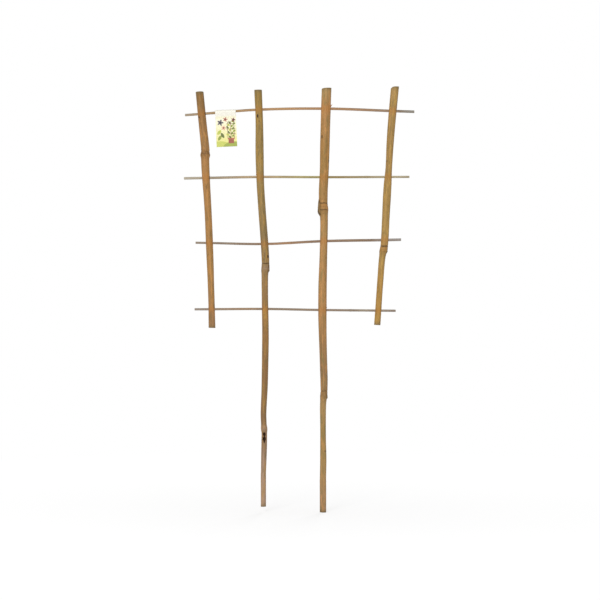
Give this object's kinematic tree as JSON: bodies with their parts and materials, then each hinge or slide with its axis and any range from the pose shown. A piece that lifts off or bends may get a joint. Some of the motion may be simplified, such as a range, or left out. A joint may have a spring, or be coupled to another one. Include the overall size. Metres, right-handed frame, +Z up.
{
  "type": "espalier frame",
  "caption": "Flat bamboo plant support: long stakes and short side canes threaded on thin bamboo rungs, with a folded card tag that swings on the top rung.",
  "frame": {"origin": "middle of the frame's outline, at the level of the longest stake's tip", "axes": "+Z up along the stakes, +X to the right seen from the front, the front faces -Y"},
  "size_m": [0.3247, 0.0138, 0.6],
  "materials": {
    "cane_russet": "dry bamboo skin, reddish tan",
    "cane_olive": "dry bamboo skin, olive to brown",
    "cane_tan": "dry bamboo skin, tan",
    "cane_golden": "dry bamboo skin, golden",
    "rung_grey": "thin bamboo rod, greyish",
    "rung_brown": "thin bamboo rod, reddish brown",
    "rung_pale": "thin bamboo rod, pale straw",
    "tag_card": null
  },
  "bodies": {
    "frame": {"left_side_cane": "cane_russet", "left_stake": "cane_olive", "right_stake": "cane_tan", "right_side_cane": "cane_golden", "bottom_rung": "rung_grey", "lower_rung": "rung_brown", "upper_rung": "rung_pale", "top_rung": "rung_brown"},
    "tag": {"hang_tag": "tag_card"}
  },
  "joints": [
    {"name": "tag_swing", "type": "hinge", "parent": "frame", "child": "tag", "pos_m": [-0.104, 0, 0.56445], "axis": [0.9965, 0, 0.0841], "continuous": true}
  ]
}
